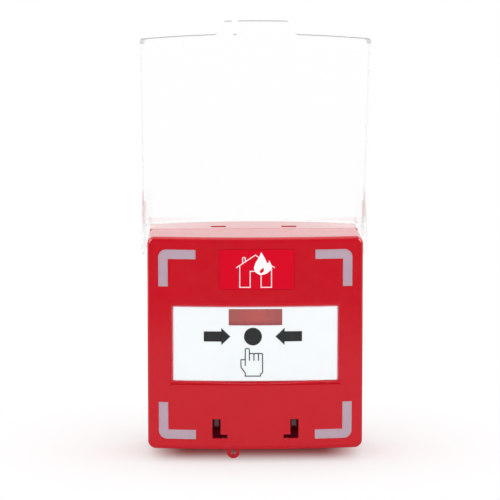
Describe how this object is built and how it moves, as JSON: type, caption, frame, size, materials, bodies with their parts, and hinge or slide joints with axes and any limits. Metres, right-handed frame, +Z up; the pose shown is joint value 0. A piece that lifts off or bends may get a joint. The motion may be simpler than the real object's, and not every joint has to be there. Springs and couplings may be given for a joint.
{
  "type": "fire alarm call point",
  "caption": "Wall-mounted manual fire alarm call point with a resettable press plate and a hinged clear cover.",
  "frame": {"origin": "middle of the wall face, where the housing's middle planes meet the wall", "axes": "+X right seen from the front, +Y into the wall, +Z up; the front faces -Y"},
  "size_m": [0.1002, 0.0522, 0.1937],
  "materials": {
    "red_box": "gloss",
    "red_cover": "gloss",
    "corner_window": "satin",
    "label": "gloss",
    "white_plate": "gloss",
    "indicator_red": "gloss",
    "clear_plastic": "clear",
    "grey_carrier": "matte",
    "board_green": "satin",
    "lamp_white": "gloss",
    "lamp_red": "gloss",
    "black_plastic": "matte",
    "plunger_red": "gloss",
    "spring_steel": "brushed",
    "rocker_white": "satin",
    "bright_steel": "polished",
    "terminal_green": "satin",
    "brass_clamp": "plated",
    "zinc_screw": "zinc plated",
    "resistor_tan": "matte",
    "black_rubber": "matte"
  },
  "bodies": {
    "housing": {"back_box": "red_box", "front_cover": "red_cover", "corner_lens_top_left": "corner_window", "corner_lens_top_right": "corner_window", "corner_lens_bottom_left": "corner_window", "corner_lens_bottom_right": "corner_window", "pictogram_label": "label", "chassis": "grey_carrier", "circuit_board": "board_green", "corner_led_top_left": "lamp_white", "corner_led_top_right": "lamp_white", "corner_led_bottom_left": "lamp_white", "corner_led_bottom_right": "lamp_white", "status_led": "lamp_red", "switch_body": "black_plastic", "rocker_pin": "bright_steel", "terminal_block": "terminal_green", "terminal_clamps": "brass_clamp", "terminal_screws": "zinc_screw", "board_resistors": "resistor_tan", "cable_grommet": "black_rubber", "chassis_screws": "zinc_screw", "board_screws": "zinc_screw"},
    "cover": {"clear_cover": "clear_plastic"},
    "plate": {"press_plate": "white_plate", "indicator_lens": "indicator_red"},
    "rocker": {"reset_rocker": "rocker_white"},
    "lever": {"switch_lever": "spring_steel"},
    "plunger": {"switch_plunger": "plunger_red"}
  },
  "joints": [
    {"name": "cover_hinge", "type": "hinge", "parent": "housing", "child": "cover", "pos_m": [0, -0.0277, 0.0421], "axis": [1, 0, 0], "range_deg": [0, 156.2]},
    {"name": "plate_press", "type": "slide", "parent": "housing", "child": "plate", "axis": [0, 1, 0], "range_m": [0, 0.0025]},
    {"name": "rocker_turn", "type": "hinge", "parent": "housing", "child": "rocker", "pos_m": [0, -0.035, -0.025], "axis": [-1, 0, 0], "range_deg": [0, 12.95]},
    {"name": "lever_turn", "type": "hinge", "parent": "housing", "child": "lever", "pos_m": [-0.0084, -0.02755, -0.0073], "axis": [0, 0, 1], "range_deg": [0, 8.72]},
    {"name": "plunger_travel", "type": "slide", "parent": "housing", "child": "plunger", "axis": [0, 1, 0], "range_m": [0, 0.00085]}
  ],
  "couplings": [
    {"joint": "rocker_turn", "follows": "plate_press", "rad_per_m": 90.044},
    {"joint": "lever_turn", "follows": "plate_press", "rad_per_m": 60.51},
    {"joint": "plunger_travel", "follows": "plate_press", "ratio": 0.3293}
  ]
}
